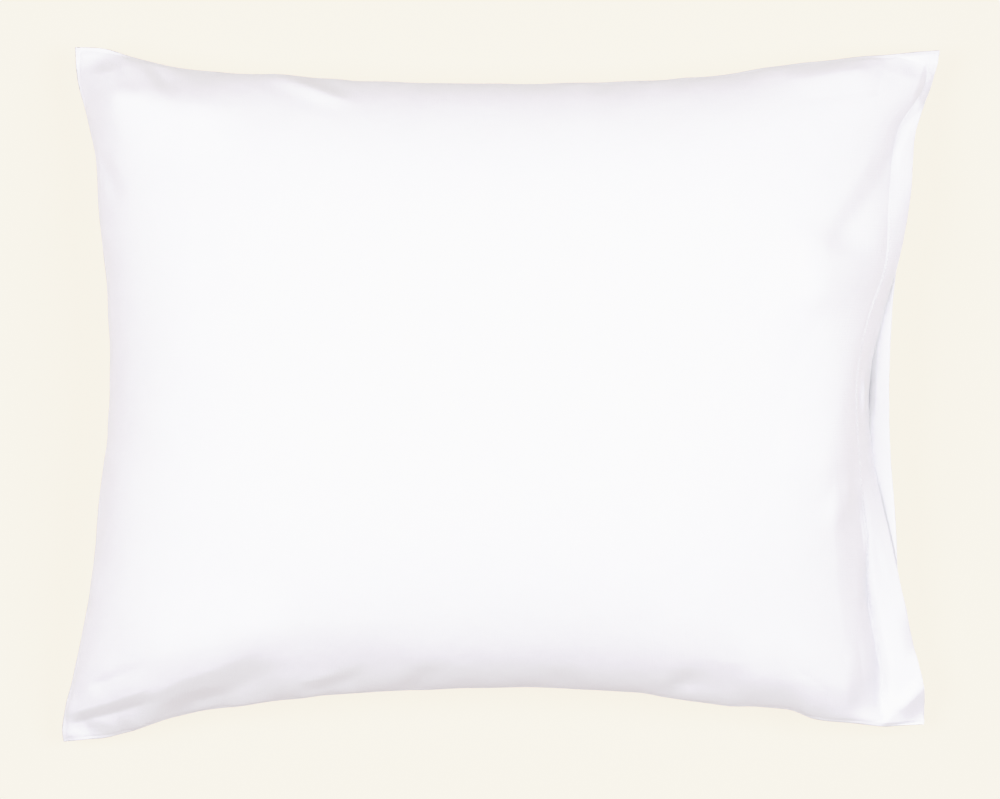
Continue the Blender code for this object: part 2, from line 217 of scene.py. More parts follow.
SEED = 7
PUCKER = 0.0010  # the small gathers along the seams
PUCKER_LENGTH = 0.018
PUCKER_REACH = 0.007
PUCKER_UNEVENNESS = 0.4  # of their strength
PUCKER_SLANT = 0.5  # the most that a gather leans as it leaves its seam
SLANT_LENGTH = 6 * PUCKER_LENGTH  # the slant and the strength change over these lengths
STRENGTH_LENGTH = 5 * PUCKER_LENGTH
SEAM_GROOVE = 0.0003  # beside each seam, which stands proud of it like a thin welt
SEAM_GROOVE_FROM = 0.0028
SEAM_GROOVE_WIDTH = 0.0014
SCALLOP = 0.0004  # how far the seams wander in and out
SCALLOP_LENGTH = 0.028
SCALLOP_REACH = 0.020
SCALLOP_FADE = 0.020  # they keep straight this close to a corner tip
HEM_RIPPLE = 0.0002
HEM_RIPPLE_LENGTH = 0.012
HEM_RIPPLE_SLANT = 0.5
HEM_FADE = 0.006  # a hem's ripple and groove fade out this close to the long seams
HEM_START = 0.001  # and begin over this width beside its foot
DRIFT = 0.0003  # the slow unevenness of the whole cloth
DRIFT_LENGTH = 0.045
DRIFT_FADE = 0.01  # it fades out this close to a seam

STITCHES_FROM_FOOT = 0.0016
STITCH_GROOVE = 0.0002  # the stitches pull the cloth in this deep, over this width
STITCH_GROOVE_WIDTH = 0.0008
STITCH_UNEVENNESS = 0.6  # along stretches of about this length
STITCH_GROOVE_LENGTH = 0.006
STITCHED_FROM = 0.008  # a hem narrower than this, at the corner tips, has no stitches
STITCH_MARGIN = 0.004  # nor has this much of a stitched line's ends
STITCH_PITCH, STITCH_LENGTH = 0.0030, 0.0023
STITCH_RADIUS = 0.00020
STITCH_SIDES = 6
# A stitch's rings: how far along it each one is, and its lift and width in shares of the stitch's radius.
STITCH_RINGS = ((0.0, -1.2, 0.6), (0.12, 0.1, 0.9), (0.5, 0.5, 1.0), (0.88, 0.1, 0.9), (1.0, -1.2, 0.6))

CLOTH_FRAMES = 22
CLOTH_PRESSURE = 4.0
CLOTH_SLACK = 0.035  # the cloth beside the seams is longer than the pillow stretches it, by this share
SLACK_REACH = 0.060  # the slack fades out this far from a seam
CLOTH_MAY_MOVE = 0.005
CALM_REACH = (0.020, 0.070)  # the simulation's moves grow between these distances from a corner tip

RESTS_BELOW = 0.0005  # the back rests on the surface where it is lower than this
CREASED_TOGETHER = (0.006, 0.020)  # a crease lets go of the back as the front rises this far above it
HEMS_APART = 2.4  # the front stays this many hem thicknesses above the back,
HEMS_APART_FROM = (0.16, 0.22)  # fully so past the second of these places along X
SHEET_GAP = 0.02  # between the front's and the back's places in the flat layout


def through(stations, at):
    """Values at places on a smooth curve through stations, which are (place, value) pairs."""
    places, values = np.array(stations, float).T
    slopes = np.empty_like(values)
    slopes[1:-1] = (values[2:] - values[:-2]) / (places[2:] - places[:-2])
    slopes[0] = (values[1] - values[0]) / (places[1] - places[0])
    slopes[-1] = (values[-1] - values[-2]) / (places[-1] - places[-2])
    i = np.clip(np.searchsorted(places, at, side="right") - 1, 0, len(places) - 2)
    run = places[i + 1] - places[i]
    x = (at - places[i]) / run
    return (
        values[i] * (1 + 2 * x) * (1 - x) ** 2
        + values[i + 1] * x * x * (3 - 2 * x)
        + slopes[i] * run * x * (1 - x) ** 2
        - slopes[i + 1] * run * x * x * (1 - x)
    )


def between(start, end, share):
    """Points a share of the way from start to end, with the share's axes before the point's."""
    share = np.asarray(share)[..., None]
    return start * (1 - share) + end * share


def smooth_step(low, high, value):
    x = np.clip((value - low) / (high - low), 0, 1)
    return x * x * (3 - 2 * x)


def seam(start, end, draws, inwards, along):
    """Points on a seam between two corner tips, drawn inwards and raised between them."""
    points = between(start, end, along) + np.multiply.outer(through(draws, along), inwards)
    points[..., 2] += SEAM_RISE * (1 - abs(2 * along - 1) ** 3)
    return points


def top_seam(along):
    return seam(CLOSED_TOP, OPEN_TOP, TOP_SEAM, np.array((0, -1, 0)), along)


def bottom_seam(along):
    return seam(CLOSED_BOTTOM, OPEN_BOTTOM, BOTTOM_SEAM, np.array((0, 1, 0)), along)


def closed_end(along):
    return seam(CLOSED_BOTTOM, CLOSED_TOP, CLOSED_END, np.array((1, 0, 0)), along)


FOOT_ENDS = (bottom_seam(np.array(FOOT_ON_BOTTOM)), top_seam(np.array(FOOT_ON_TOP)))
EDGE_ENDS = (OPEN_BOTTOM, OPEN_TOP)


def open_end_value(column, along):
    """A column of OPEN_END at places along the open end, whose two ends lie on the long seams."""
    first, last = FOOT_ENDS if column.startswith("foot") else EDGE_ENDS
    axis = "xyz".index(column[-1])
    rows = [(row.along, getattr(row, column)) for row in OPEN_END]
    return through([(0.0, first[axis]), *rows, (1.0, last[axis])], along)


def on_open_end(ends, along, x, z):
    """Points of the open end, whose Y runs evenly between its ends."""
    return np.stack([x, ends[0][1] * (1 - along) + ends[1][1] * along, z], axis=-1)


def front_foot(along):
    return on_open_end(FOOT_ENDS, along, open_end_value("foot_x", along), open_end_value("foot_z", along))


def front_edge(along):
    return on_open_end(EDGE_ENDS, along, open_end_value("edge_x", along), open_end_value("edge_z", along))


def hem_thickness(along):
    return LIP * np.clip(np.minimum(along, 1 - along) / LIP_RUN, 0, 1)


def back_edge(along):
    open_share = np.clip(np.sin(math.pi * along), 0, 1) ** MOUTH_TAPER
    z = front_edge(along)[..., 2] - 2 * hem_thickness(along) - MOUTH_GAP * open_share
    return on_open_end(EDGE_ENDS, along, open_end_value("back_x", along), z)


def back_foot(along):
    """Where the back hem begins. It runs into the front's foot at both long seams."""
    edge = back_edge(along)
    hem = on_open_end(FOOT_ENDS, along, edge[..., 0] - BACK_HEM_WIDTH, edge[..., 2] - BACK_HEM_DROP)
    from_seam = np.clip(np.minimum(along, 1 - along) / BACK_FOOT_RUN, 0, 1)[..., None]
    return between(*FOOT_ENDS, along) * (1 - from_seam) + hem * from_seam


def stretched(rows, columns, foot):
    """The flat case stretched between its three seams and the foot of a hem, as a Coons patch."""
    left, right = closed_end(rows)[:, None], foot(rows)[:, None]
    bottom = bottom_seam(columns * FOOT_ON_BOTTOM)[None]
    top = top_seam(columns * FOOT_ON_TOP)[None]
    ends = np.array((0.0, 1.0))
    (closed_low, closed_high), (foot_low, foot_high) = closed_end(ends), foot(ends)
    corners_below = between(closed_low, foot_low, columns)[None]
    corners_above = between(closed_high, foot_high, columns)[None]
    across, along = rows[:, None, None], columns[None, :, None]
    return (
        left * (1 - along) + right * along + bottom * (1 - across) + top * across
        - corners_below * (1 - across) - corners_above * across
    )


def rounded(share, roundness):
    """The height of a round edge, 0 at its seam and 1 where share is 1."""
    low = EDGE_BLUNTNESS**roundness
    return ((share + EDGE_BLUNTNESS) ** roundness - low) / ((1 + EDGE_BLUNTNESS) ** roundness - low)


def swell(rows, columns, softer=0.0):
    """How far the case has swollen, 0 at all its edges and 1 in the middle, with round edges. The shoulder
    at the open end is softer by one number, or by one for each row."""
    along = np.clip(1 - abs(2 * columns - 1) ** LENGTH_FULLNESS, 0, 1)
    across = np.clip(1 - abs(2 * rows - 1) ** WIDTH_FULLNESS, 0, 1)
    open_roundness = (EDGE_ROUNDNESS + softer * np.ones_like(rows))[:, None]
    roundness = np.where(columns > 0.5, open_roundness, CLOSED_ROUNDNESS)
    return rounded(along, roundness) * rounded(across, EDGE_ROUNDNESS)[:, None]


def filled(points):
    """How much of the swelling is left near the corner tips, which the pillow doesn't fill."""
    share = np.ones(points.shape[:-1])
    for tip, size, left in FLAT_TIPS:
        away = np.linalg.norm((points[..., :2] - tip[:2]) / size, axis=-1)
        share *= left + (1 - left) * smooth_step(*FLAT_REACH, away)
    return share


def calm(points):
    """How much of the simulation's moves is left near the corner tips, where its grid is too coarse."""
    share = np.ones(points.shape[:-1])
    for tip, _, _ in FLAT_TIPS:
        share *= smooth_step(*CALM_REACH, np.linalg.norm(points[..., :2] - tip[:2], axis=-1))
    return share


def front_body(rows, columns):
    points = stretched(rows, columns, front_foot)
    share = swell(rows, columns, through(OPEN_SHOULDER, rows)) * filled(points)
    points[..., 2] += (CROWN_TOP - points[..., 2]) * share
    return points


def back_body(rows, columns):
    points = stretched(rows, columns, back_foot)
    points[..., 2] += (CROWN_BELOW - points[..., 2]) * swell(rows, columns) * filled(points)
    points[..., 2] = np.maximum(points[..., 2], 0)
    return points


def with_hem(body, foot, edge, rows, hem_places):
    """A sheet of the case, from its closed end to its hem's free edge."""
    start, end = foot(rows)[:, None], edge(rows)[:, None]
    share = np.array(hem_places[1:])[None, :, None]
    hem = start * (1 - share) + end * share
    hem[..., 2:] = start[..., 2:] + (end - start)[..., 2:] * share**HEM_DROOP
    return np.concatenate([body, hem], axis=1)


def sheets(rows, columns, hem_places):
    """The front and the back of the case, each from its closed end to its hem's free edge."""
    front = with_hem(front_body(rows, columns), front_foot, front_edge, rows, hem_places)
    back = with_hem(back_body(rows, columns), back_foot, back_edge, rows, hem_places)
    return front, back


def arc(points):
    """How far along a line each of its points lies."""
    steps = np.linalg.norm(np.diff(points, axis=0), axis=-1)
    return np.concatenate([[0.0], np.cumsum(steps)])


def on_line(values, lengths, at):
    """The point, or the direction, this far along a line whose points have these lengths before them."""
    return np.array([np.interp(at, lengths, values[:, axis]) for axis in range(3)])


def spaced(line, coarseness):
    """Places from 0 to 1 along a line, close together near its ends and further apart in its middle."""
    trial = np.linspace(0, 1, TRIAL_PLACES)
    lengths = arc(line(trial))
    from_end = np.minimum(lengths, lengths[-1] - lengths)
    spacing = coarseness * (FINE + (COARSE - FINE) * smooth_step(FINE_REACH, COARSE_REACH, from_end))
    steps = np.concatenate([[0.0], np.cumsum(np.diff(lengths) / ((spacing[1:] + spacing[:-1]) / 2))])
    count = math.ceil(steps[-1])
    return np.interp(np.linspace(0, steps[-1], count + 1), steps, trial)


MIDDLE = np.array((0.5,))


def grid_places(coarseness):
    """The rows' and the columns' places, laid out along the front's two middle lines."""
    rows = spaced(lambda at: front_body(at, MIDDLE)[:, 0], coarseness)
    columns = spaced(lambda at: front_body(MIDDLE, at)[0], coarseness)
    return rows, columns


# -------- the simulation


def add_object(name, data):
    added = bpy.data.objects.new(name, data)
    bpy.context.scene.collection.objects.link(added)
    return added


def add_mesh(name, points, faces):
    mesh = bpy.data.meshes.new(name)
    mesh.from_pydata(points, [], faces)
    return add_object(name, mesh)


def grid_numbers(rows, columns, first):
    return first + np.arange(rows * columns).reshape(rows, columns)


def grid_faces(numbers):
    """Quads between a grid's vertex numbers, less the corners that a seam has merged."""
    corners = np.stack([numbers[:-1, :-1], numbers[:-1, 1:], numbers[1:, 1:], numbers[1:, :-1]], axis=-1)
    for face in corners.reshape(-1, 4).tolist():
        face = list(dict.fromkeys(face))
        if len(face) > 2:
            yield face


def seam_distances(sheet):
    """How far each point of a sheet lies over the cloth from its bottom seam, and from its closed end."""
    across = np.linalg.norm(np.diff(sheet, axis=0), axis=-1)
    from_bottom = np.concatenate([np.zeros((1, sheet.shape[1])), np.cumsum(across, axis=0)])
    along = np.linalg.norm(np.diff(sheet, axis=1), axis=-1)
    from_closed = np.concatenate([np.zeros((sheet.shape[0], 1)), np.cumsum(along, axis=1)], axis=1)
    return from_bottom, from_closed


def nearest_seam(sheet, hem_columns):
    """How far each point of a sheet lies over the cloth from its nearest seam or its hem's foot."""
    from_bottom, from_closed = seam_distances(sheet)
    to_foot = abs(from_closed[:, -hem_columns, None] - from_closed)
    return np.minimum.reduce([from_bottom, from_bottom[-1] - from_bottom, from_closed, to_foot])


def settled(rows, columns):
    """How far a cloth simulation moves each point of the front and of the back, on a coarse grid.

    The seams and the hems are held, and pressure stands for the pillow. The cloth beside the seams is slack,
    so it gathers there into small puckers.
    """
    front, back = sheets(rows, columns, CLOTH_HEM_PLACES)
    shape = front.shape[:2]
    front_numbers = grid_numbers(*shape, 0)
    back_numbers = grid_numbers(*shape, front_numbers.size)
    for seam_part in (np.s_[0], np.s_[-1], np.s_[:, 0]):
        back_numbers[seam_part] = front_numbers[seam_part]
    points = np.concatenate([front.reshape(-1, 3), back.reshape(-1, 3)])
    faces = [*grid_faces(front_numbers), *(face[::-1] for face in grid_faces(back_numbers))]
    cloth = add_mesh("cloth", points.tolist(), faces)

    hem_columns = len(CLOTH_HEM_PLACES)
    held = cloth.vertex_groups.new(name="held")
    slack = cloth.vertex_groups.new(name="slack")
    for sheet, numbers in ((front, front_numbers), (back, back_numbers)):
        near = 1 - smooth_step(0, SLACK_REACH, nearest_seam(sheet, hem_columns))
        fixed = np.zeros(shape, bool)
        fixed[[0, -1]] = fixed[:, 0] = fixed[:, 1 - hem_columns :] = True
        fixed |= sheet[..., 2] <= RESTS_BELOW
        held.add(np.unique(numbers[fixed]).tolist(), 1.0, "REPLACE")
        for number, weight in zip(numbers.ravel().tolist(), near.ravel().tolist()):
            slack.add([number], weight, "REPLACE")

    modifier = cloth.modifiers.new("cloth", "CLOTH")
    settings = modifier.settings
    settings.quality = 6
    settings.mass = 0.15
    settings.tension_stiffness = 25
    settings.compression_stiffness = 25
    settings.shear_stiffness = 10
    settings.bending_stiffness = 0.3
    settings.use_pressure = True
    settings.uniform_pressure_force = CLOTH_PRESSURE
    settings.vertex_group_mass = "held"
    settings.vertex_group_shrink = "slack"
    settings.shrink_min = 0.0
    settings.shrink_max = -CLOTH_SLACK
    settings.effector_weights.gravity = 0
    modifier.collision_settings.use_collision = False
    modifier.point_cache.frame_start = 1
    modifier.point_cache.frame_end = CLOTH_FRAMES
    for step in range(1, CLOTH_FRAMES + 1):
        bpy.context.scene.frame_set(step)
    moved = cloth.evaluated_get(bpy.context.evaluated_depsgraph_get()).data
    after = np.empty(len(points) * 3, np.float32)
    moved.vertices.foreach_get("co", after)
    after = after.reshape(-1, 3)
    bpy.context.scene.frame_set(1)
    mesh = cloth.data
    bpy.data.objects.remove(cloth)
    bpy.data.meshes.remove(mesh)

    moves = [after[front_numbers] - front, after[back_numbers] - back]
    for move in moves:
        size = np.linalg.norm(move, axis=-1, keepdims=True)
        move *= CLOTH_MAY_MOVE / np.maximum(size, CLOTH_MAY_MOVE)
    return moves


def cubic_weights(x):
    """The Catmull-Rom weights of the four nearest knots, a share x of the way between the middle two."""
    return (
        0.5 * (-(x**3) + 2 * x**2 - x),
        0.5 * (3 * x**3 - 5 * x**2 + 2),
        0.5 * (-3 * x**3 + 4 * x**2 + x),
        0.5 * (x**3 - x**2),
    )


def nearest_four(at, count):
    """For places on a grid line, the four nearest grid numbers and their weights."""
    i = np.clip(np.floor(at).astype(int), 0, count - 2)
    return np.clip(np.stack([i - 1, i, i + 1, i + 2]), 0, count - 1), cubic_weights(at - i)


def resampled(field, row_at, column_at):
    """A coarse grid's field at the rows and columns of a finer one, smoothly."""
    numbers, weights = nearest_four(row_at, field.shape[0])
    by_row = sum(weights[k][:, None, None] * field[numbers[k]] for k in range(4))
    numbers, weights = nearest_four(column_at, field.shape[1])
    return sum(weights[k][None, :, None] * by_row[:, numbers[k]] for k in range(4))


def grid_at(places, coarse):
    """The fractional number of each place among the coarse places."""
    return np.interp(places, coarse, np.arange(len(coarse)))


# -------- the skin


def unit(vectors):
    """Vectors scaled to a length of 1, or left at 0."""
    return vectors / np.maximum(np.linalg.norm(vectors, axis=-1, keepdims=True), 1e-9)


def sheet_normals(sheet):
    """Unit normals of a sheet, upwards where it is level."""
    return unit(np.cross(np.gradient(sheet, axis=1), np.gradient(sheet, axis=0)))


def rounded_edge(outer, inner):
    """Points on half circles from the outer to the inner side of a hem, round its free edge."""
    tip_out, tip_in = outer[:, -1], inner[:, -1]
    outwards = unit(tip_out - outer[:, -2])
    middle, half = (tip_out + tip_in) / 2, (tip_out - tip_in) / 2
    radius = np.linalg.norm(half, axis=-1, keepdims=True)
    turns = [math.pi * step / EDGE_STEPS for step in range(1, EDGE_STEPS)]
    return np.stack([middle + half * math.cos(a) + outwards * radius * math.sin(a) for a in turns], axis=1)


def inner_side(sheet, thickness, sign):
    """The inside of a hem, one thickness below the front's or above the back's."""
    hem, normal = sheet[:, -HEM_COLUMNS:], sheet_normals(sheet)[:, -HEM_COLUMNS:]
    return hem + sign * normal * thickness[:, None, None]


def pillow_wall(top, bottom):
    """Points down over the swollen end of the pillow, from the top line to the bottom one."""
    shares = np.arange(1, WALL_STEPS) / WALL_STEPS
    points = np.stack([top * (1 - share) + bottom * share for share in shares], axis=1)
    height = np.linalg.norm(top - bottom, axis=-1)
    bulge = np.minimum(PILLOW_BULGE, height * BULGE_SHARE)[:, None]
    points[..., 0] += bulge * np.sin(math.pi * shares)[None] ** BULGE_FULLNESS
    return points


def smooth_path(points):
    """A finer path through a crease's points."""
    points = np.array(points, float)
    knots = arc(points)
    at = np.linspace(0, knots[-1], PATH_FINENESS * len(points))
    return np.stack([through(list(zip(knots, points[:, axis])), at) for axis in (0, 1)], axis=-1)


def crease_height(crease, places):
    """How far a crease raises each place of the cloth, seen from above."""
    path = smooth_path(crease.path)
    lengths = arc(path)
    nearest = np.full(places.shape[:-1], np.inf)
    aside, along = np.zeros_like(nearest), np.zeros_like(nearest)
    for k in range(len(path) - 1):
        run = path[k + 1] - path[k]
        length = lengths[k + 1] - lengths[k]
        away = places - path[k]
        held = np.clip(away @ run / length**2, 0, 1)
        gap = np.linalg.norm(away - held[..., None] * run, axis=-1)
        side = np.sign(run[0] * away[..., 1] - run[1] * away[..., 0])
        closer = gap < nearest
        nearest = np.where(closer, gap, nearest)
        aside = np.where(closer, side, aside)
        along = np.where(closer, (lengths[k] + held * length) / lengths[-1], along)
    width = np.where(aside > 0, crease.left, crease.right) * (1 + (crease.spread - 1) * along)
    radius = CREASE_ROUNDING * min(crease.left, crease.right)
    softened = np.sqrt(nearest**2 + radius**2) - radius
    height = np.clip(1 - softened / width, 0, 1) ** crease.slant
    fade_in = smooth_step(-1e-6, crease.fade_in, along)
    fade_out = 1 - smooth_step(1 - crease.fade_out, 1 + 1e-6, along)
    return crease.rise * height * (fade_in * fade_out)


def creased(front):
    """The heights that the creases add to the front."""
    return sum(crease_height(crease, front[..., :2]) for crease in CREASES)


def wander(at, length, random):
    """A smooth random line with waves of about this length, from -1 to 1."""
    knots = np.arange(at.min() - 2 * length, at.max() + 2 * length, length / 2)
    return through(list(zip(knots, random.uniform(-1, 1, len(knots)))), at)


def wander_over(x, y, length, random):
    """A smooth random surface with waves of about this length."""
    low = np.array((x.min(), y.min())) - length
    size = [int((v.max() - v.min()) / (length / 2)) + 6 for v in (x, y)]
    knots = random.uniform(-1, 1, size)
    u, v = (x - low[0]) / (length / 2), (y - low[1]) / (length / 2)
    i, j = np.clip(u.astype(int), 1, size[0] - 3), np.clip(v.astype(int), 1, size[1] - 3)
    across, down = cubic_weights(u - i), cubic_weights(v - j)
    return sum(across[a] * down[b] * knots[i + a - 1, j + b - 1] for a in range(4) for b in range(4))


def gathered(sheet, random):
    """How far each point of a sheet stands out of it: small gathers along the seams, a thin groove beside
    them, ripples and a stitched groove in the hem, and the slow unevenness of the cloth."""
    from_bottom, from_closed = seam_distances(sheet)
    from_top = from_bottom[-1] - from_bottom
    x, y = sheet[..., 0], sheet[..., 1]
    out = np.zeros(x.shape)
    for distance, place in ((from_bottom, x), (from_top, x), (from_closed, y)):
        oblique = place + PUCKER_SLANT * distance * wander(place, SLANT_LENGTH, random)
        near = distance / PUCKER_REACH * np.exp(1 - distance / PUCKER_REACH)
        strength = 1 - PUCKER_UNEVENNESS + PUCKER_UNEVENNESS * wander(place, STRENGTH_LENGTH, random)
        out += PUCKER * near * strength * wander(oblique, PUCKER_LENGTH, random)
    from_side = np.minimum(from_bottom, from_top)
    nearest = np.minimum(from_side, from_closed)
    out -= SEAM_GROOVE * np.exp(-(((nearest - SEAM_GROOVE_FROM) / SEAM_GROOVE_WIDTH) ** 2))
    out += DRIFT * wander_over(x, y, DRIFT_LENGTH, random) * smooth_step(0, DRIFT_FADE, nearest)

    past_foot = from_closed - from_closed[:, -HEM_COLUMNS, None]
    in_hem = smooth_step(0, HEM_START, past_foot) * np.clip(from_side / HEM_FADE, 0, 1)
    skewed = y + HEM_RIPPLE_SLANT * past_foot
    out += in_hem * HEM_RIPPLE * (1 + wander(skewed, HEM_RIPPLE_LENGTH, random))
    groove = np.exp(-(((past_foot - STITCHES_FROM_FOOT) / STITCH_GROOVE_WIDTH) ** 2))
    uneven = 1 + STITCH_UNEVENNESS * wander(y, STITCH_GROOVE_LENGTH, random)
    out -= in_hem * STITCH_GROOVE * groove * uneven
    return out


def wandering_seams(front, back, random):
    """Moves both sheets' cloth near a seam in and out together, so the outline isn't a drawn curve."""
    # where a seam lies in a sheet, the axis that it runs along, and the way inwards on the other axis
    for seam_part, axis, inwards in ((np.s_[:1], 0, 1.0), (np.s_[-1:], 0, -1.0), (np.s_[:, :1], 1, 1.0)):
        shift = inwards * SCALLOP * wander(front[seam_part][..., axis], SCALLOP_LENGTH, random)
        for sheet in (front, back):
            distance = np.linalg.norm(sheet - sheet[seam_part], axis=-1)
            place = sheet[..., axis]
            first, last = (place[:1], place[-1:]) if axis else (place[:, :1], place[:, -1:])
            ends = np.clip(np.minimum(place - first, last - place) / SCALLOP_FADE, 0, 1)
            sheet[..., 1 - axis] += shift * (1 - smooth_step(0, SCALLOP_REACH, distance)) * ends


def stitch_line(sheet, outside):
    """Where a hem is sewn down: points beside its foot, and the directions out of the cloth there."""
    hem = sheet[:, -HEM_COLUMNS:]
    normals = outside * sheet_normals(sheet)[:, 1 - HEM_COLUMNS]
    points = np.array([on_line(row, arc(row), STITCHES_FROM_FOOT) for row in hem])
    wide = np.linalg.norm(hem[:, -1] - hem[:, 0], axis=-1) > STITCHED_FROM
    return points[wide], normals[wide]


def settled_sheets(rows, columns):
    """The front and the back after the simulation, on the fine grid."""
    front, back = sheets(rows, columns, HEM_PLACES)
    cloth_rows, cloth_columns = grid_places(CLOTH_COARSENESS)
    hem_at = np.interp(HEM_PLACES[1:], CLOTH_HEM_PLACES, np.arange(len(CLOTH_HEM_PLACES)))
    column_at = np.concatenate([grid_at(columns, cloth_columns), len(cloth_columns) - 1 + hem_at])
    row_at = grid_at(rows, cloth_rows)
    front_move, back_move = settled(cloth_rows, cloth_columns)
    front = front + resampled(front_move, row_at, column_at) * calm(front)[..., None]
    back = back + resampled(back_move, row_at, column_at) * calm(back)[..., None]
    return front, back


def finished_sheets(rows, columns, thickness):
    """The settled front and back with their creases and gathers."""
    front, back = settled_sheets(rows, columns)
    rise = creased(front)
    together = 1 - smooth_step(*CREASED_TOGETHER, front[..., 2] - back[..., 2])
    front_normal, back_normal = sheet_normals(front), -sheet_normals(back)
    random = np.random.default_rng(SEED)
    front_out = gathered(front, random)
    back_out = gathered(back, random)
    back_out[back[..., 2] <= RESTS_BELOW] = 0
    for out in (front_out, back_out):
        out[[0, -1]] = out[:, 0] = 0
    front = front + front_normal * front_out[..., None]
    back = back + back_normal * back_out[..., None]
    front[..., 2] += rise
    back[..., 2] += rise * together
    wandering_seams(front, back, random)
    back[..., 2] = np.maximum(back[..., 2], 0)
    apart = HEMS_APART * thickness[:, None] * smooth_step(*HEMS_APART_FROM, front[..., 0])
    front[..., 2] = np.maximum(front[..., 2], back[..., 2] + apart)
    return front, back


def case_grid():
    """The case's skin as a grid of points: a row for each section, which runs round from the closed end over
    the front to the mouth and back under the case. Also how many columns each of its parts has, the number
    of a column in the middle of the front, and the hems' stitch lines."""
    rows, columns = grid_places(1.0)
    thickness = hem_thickness(rows)
    front, back = finished_sheets(rows, columns, thickness)
    over = inner_side(front, thickness, -1)
    under = inner_side(back, thickness, 1)
    parts = [
        front,
        rounded_edge(front, over),
        over[:, ::-1],
        pillow_wall(over[:, 0], under[:, 0]),
        under,
        rounded_edge(back, under)[:, ::-1],
        back[:, :0:-1],
    ]
    lines = [stitch_line(front, 1), stitch_line(back, -1)]
    return np.concatenate(parts, axis=1), [part.shape[1] for part in parts], len(columns) // 2, lines


def merged_numbers(rows, widths):
    """The grid's vertex numbers, with the front's and the back's merged along the long seams, and the
    mouth's all merged into the corner tips."""
    total = sum(widths)
    numbers = grid_numbers(rows, total, 0)
    front, mouth_end = widths[0], total - widths[-1]
    for row in (0, rows - 1):
        numbers[row, front:mouth_end] = numbers[row, front - 1]
        numbers[row, mouth_end:] = numbers[row, front - 1 : 0 : -1]
    return numbers


def flat_layout(points, middle_column):
    """Where the grid's columns and rows lie in the flat cloth: how far from the closed end, with one more
    column that closes the loop, and how far from the bottom seam."""
    section = points[len(points) // 2]
    lengths = arc(section)
    loop = lengths[-1] + np.linalg.norm(section[-1] - section[0])
    return np.append(np.minimum(lengths, loop - lengths), 0.0), arc(points[:, middle_column])


def build_case():
    """The case as one piece, with its places in the flat cloth as its layout. Also the layout's size in
    metres, and the hems' stitch lines."""
    points, widths, middle_column, lines = case_grid()
    rows, total = points.shape[:2]
    numbers = merged_numbers(rows, widths)
    numbers = np.concatenate([numbers, numbers[:, :1]], axis=1)
    along, across = flat_layout(points, middle_column)
    span = max(along.max(), 2 * across[-1] + SHEET_GAP)
    faces, layout = [], []
    for row in range(rows - 1):
        for column in range(total):
            corners = {}
            for place in ((row, column), (row, column + 1), (row + 1, column + 1), (row + 1, column)):
                corners.setdefault(int(numbers[place]), place)
            if len(corners) > 2:
                faces.append(list(corners))
                lift = across[-1] + SHEET_GAP if column < total // 2 else 0.0
                for at_row, at_column in corners.values():
                    layout += [along[at_column] / span, (across[at_row] + lift) / span]
    used = np.unique(numbers)
    renumber = np.zeros(rows * total, int)
    renumber[used] = np.arange(len(used))
    faces = [renumber[face].tolist() for face in faces]
    case = add_mesh("pillowcase", points.reshape(-1, 3)[used].tolist(), faces)
    case.data.uv_layers.new(name="OFBake").data.foreach_set("uv", layout)
    case.data.shade_smooth()
    case.data.validate()
    return case, span, lines


def stitch(start, end, out):
    """A stitch's points, ring by ring: a thread that comes up out of the cloth, lies on it and dives in."""
    run = end - start
    side = np.cross(out, run / np.linalg.norm(run))
    turns = np.arange(STITCH_SIDES) * 2 * math.pi / STITCH_SIDES
    points = []
    for share, lift, width in STITCH_RINGS:
        middle = start + run * share + out * lift * STITCH_RADIUS
        radius = STITCH_RADIUS * width
        points += [tuple(middle + radius * (side * math.cos(a) + out * math.sin(a))) for a in turns]
    return points


def stitch_faces(first):
    """The faces of a stitch whose points are numbered from first: quads between its rings, and two ends."""
    ring = np.arange(STITCH_SIDES)
    faces = []
    for start in first + STITCH_SIDES * np.arange(len(STITCH_RINGS) - 1):
        one, other = start + ring, start + STITCH_SIDES + ring
        faces += np.stack([one, np.roll(one, -1), np.roll(other, -1), other], axis=1).tolist()
    last = first + STITCH_SIDES * (len(STITCH_RINGS) - 1)
    return [*faces, (first + ring[::-1]).tolist(), (last + ring).tolist()]


def build_stitches(lines):
    """Both hems' rows of stitches as one piece."""
    points, faces = [], []
    for places, normals in lines:
        lengths = arc(places)
        for begin in np.arange(STITCH_MARGIN, lengths[-1] - STITCH_MARGIN, STITCH_PITCH):
            out = on_line(normals, lengths, begin + STITCH_LENGTH / 2)
            out /= np.linalg.norm(out)
            ends = on_line(places, lengths, begin), on_line(places, lengths, begin + STITCH_LENGTH)
            faces += stitch_faces(len(points))
            points += stitch(*ends, out)
    stitches = add_mesh("hem_stitches", points, faces)
    stitches.data.shade_smooth()
    return stitches


case, layout_span, stitch_lines = build_case()
stitches = build_stitches(stitch_lines)

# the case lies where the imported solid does
low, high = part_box(NODE)
xs = [vertex.co.x for vertex in case.data.vertices]
ys = [vertex.co.y for vertex in case.data.vertices]
shift_x = (low.x + high.x - min(xs) - max(xs)) / 2
shift_y = (low.y + high.y - min(ys) - max(ys)) / 2
to_middle = Matrix.Translation((shift_x, shift_y, 0))
for piece in (case, stitches):
    piece.data.transform(to_middle)
    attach(piece, "root")
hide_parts(NODE)

# -------- the finish

THREADS = 320.0  # the wave textures' scale, which makes a thread each millimetre
SLUBS, CRUMPLE, TWIST = 900.0, 70.0, 2500.0  # the scales of the noises
WEAVE_DEPTH, SLUB_DEPTH, CRUMPLE_DEPTH, TWIST_DEPTH = 0.00006, 0.00018, 0.0010, 0.00005
COTTON_WHITE = (0.866, 0.863, 0.869, 1)
# the darker tone: painted shade, laid into the hollows of the cloth's crumples and of the thread's twist
PAINTED_HOLLOW_SHADE = (0.853, 0.850, 0.856, 1)
THREAD_WHITE = (0.900, 0.900, 0.905, 1)


